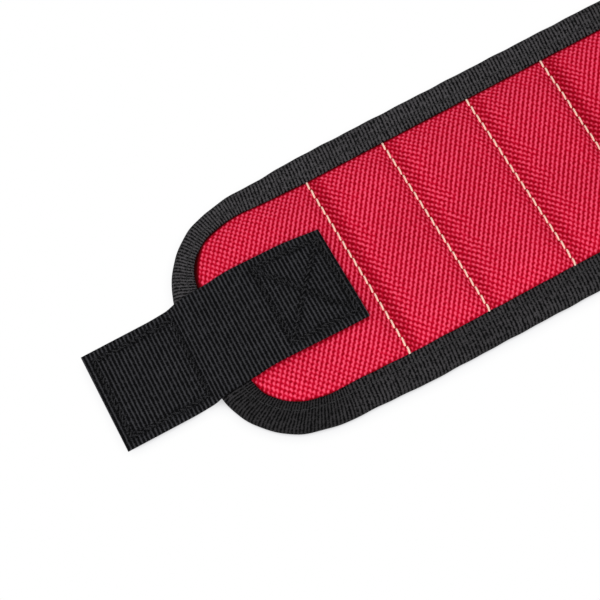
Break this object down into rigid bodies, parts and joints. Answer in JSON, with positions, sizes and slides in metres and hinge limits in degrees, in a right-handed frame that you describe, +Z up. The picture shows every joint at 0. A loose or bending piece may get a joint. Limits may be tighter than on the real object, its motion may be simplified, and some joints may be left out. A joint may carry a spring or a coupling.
{
  "type": "magnetic wristband",
  "caption": "Padded magnetic wristband lying open: quilted columns hold hidden magnets, bound edges, and a sewn webbing hook tab that closes onto a loop strip.",
  "frame": {"origin": "centre of the band's footprint, on the surface that it lies on", "axes": "+X along the band from the hook tab to the loop end, +Y across the band, +Z up through the quilted front"},
  "size_m": [0.3136, 0.09, 0.009],
  "materials": {
    "red_cloth": "plain-woven cloth with a slight sheen",
    "foam": "soft foam, hidden",
    "mesh_lining": "matt air mesh",
    "binding_tape": "ribbed tape, satin",
    "magnet": "nickel plated, hidden",
    "webbing": "ribbed webbing, satin",
    "hook_tape": "dense small hooks",
    "loop_tape": "brushed loop pile"
  },
  "bodies": {
    "end_a": {"front_end_a": "red_cloth", "foam_end_a": "foam", "lining_end_a": "mesh_lining", "binding_end_a": "binding_tape", "strap_bridge": "webbing"},
    "end_b": {"front_end_b": "red_cloth", "foam_end_b": "foam", "lining_end_b": "mesh_lining", "binding_end_b_near": "binding_tape", "binding_end_b_far": "binding_tape", "strap_anchor": "webbing"},
    "column_1": {"front_column_1": "red_cloth", "foam_column_1": "foam", "lining_column_1": "mesh_lining", "binding_column_1_near": "binding_tape", "binding_column_1_far": "binding_tape", "magnet_column_1_near": "magnet", "magnet_column_1_far": "magnet"},
    "column_2": {"front_column_2": "red_cloth", "foam_column_2": "foam", "lining_column_2": "mesh_lining", "binding_column_2_near": "binding_tape", "binding_column_2_far": "binding_tape", "magnet_column_2_near": "magnet", "magnet_column_2_far": "magnet"},
    "column_3": {"front_column_3": "red_cloth", "foam_column_3": "foam", "lining_column_3": "mesh_lining", "binding_column_3_near": "binding_tape", "binding_column_3_far": "binding_tape", "magnet_column_3_near": "magnet", "magnet_column_3_far": "magnet"},
    "column_4": {"front_column_4": "red_cloth", "foam_column_4": "foam", "lining_column_4": "mesh_lining", "binding_column_4_near": "binding_tape", "binding_column_4_far": "binding_tape", "magnet_column_4_near": "magnet", "magnet_column_4_far": "magnet"},
    "loop_1": {"front_loop_1": "red_cloth", "foam_loop_1": "foam", "lining_loop_1": "mesh_lining", "binding_loop_1_near": "binding_tape", "binding_loop_1_far": "binding_tape", "loop_strip_1": "loop_tape"},
    "loop_2": {"front_loop_2": "red_cloth", "foam_loop_2": "foam", "lining_loop_2": "mesh_lining", "binding_loop_2_near": "binding_tape", "binding_loop_2_far": "binding_tape", "loop_strip_2": "loop_tape"},
    "loop_3": {"front_loop_3": "red_cloth", "foam_loop_3": "foam", "lining_loop_3": "mesh_lining", "binding_loop_3": "binding_tape", "loop_strip_3": "loop_tape"},
    "tab": {"strap_tab": "webbing", "hook_patch": "hook_tape"}
  },
  "joints": [
    {"name": "wrap", "type": "hinge", "parent": "column_2", "child": "column_3", "pos_m": [-0.00565, 0, 0.0051], "axis": [0, 1, 0], "range_deg": [-8, 33.5]},
    {"name": "fold_column_1_2", "type": "hinge", "parent": "column_2", "child": "column_1", "pos_m": [-0.03725, 0, 0.0051], "axis": [0, -1, 0], "range_deg": [-6.82, 28.24]},
    {"name": "fold_end_b_column_1", "type": "hinge", "parent": "column_1", "child": "end_b", "pos_m": [-0.06585, 0, 0.0051], "axis": [0, -1, 0], "range_deg": [-8.34, 34.61]},
    {"name": "fold_end_a_b", "type": "hinge", "parent": "end_b", "child": "end_a", "pos_m": [-0.08405, 0, 0.0051], "axis": [0, -1, 0], "range_deg": [-10.34, 42.98]},
    {"name": "fold_column_3_4", "type": "hinge", "parent": "column_3", "child": "column_4", "pos_m": [0.02245, 0, 0.0051], "axis": [0, 1, 0], "range_deg": [-8.66, 35.95]},
    {"name": "fold_column_4_loop_1", "type": "hinge", "parent": "column_4", "child": "loop_1", "pos_m": [0.05185, 0, 0.0051], "axis": [0, 1, 0], "range_deg": [-10.66, 44.32]},
    {"name": "fold_loop_1_2", "type": "hinge", "parent": "loop_1", "child": "loop_2", "pos_m": [0.08435, 0, 0.0051], "axis": [0, 1, 0], "range_deg": [-10.98, 45.66]},
    {"name": "fold_loop_2_3", "type": "hinge", "parent": "loop_2", "child": "loop_3", "pos_m": [0.11685, 0, 0.0051], "axis": [0, 1, 0], "range_deg": [-11.38, 47.34]},
    {"name": "tab_flex", "type": "hinge", "parent": "end_a", "child": "tab", "pos_m": [-0.12555, 0, 0.00541], "axis": [0, -1, 0], "range_deg": [-90, 35]}
  ],
  "couplings": [
    {"joint": "fold_column_1_2", "follows": "wrap", "ratio": 0.84},
    {"joint": "fold_end_b_column_1", "follows": "wrap", "ratio": 1.03},
    {"joint": "fold_end_a_b", "follows": "wrap", "ratio": 1.28},
    {"joint": "fold_column_3_4", "follows": "wrap", "ratio": 1.07},
    {"joint": "fold_column_4_loop_1", "follows": "wrap", "ratio": 1.32},
    {"joint": "fold_loop_1_2", "follows": "wrap", "ratio": 1.36},
    {"joint": "fold_loop_2_3", "follows": "wrap", "ratio": 1.41}
  ]
}
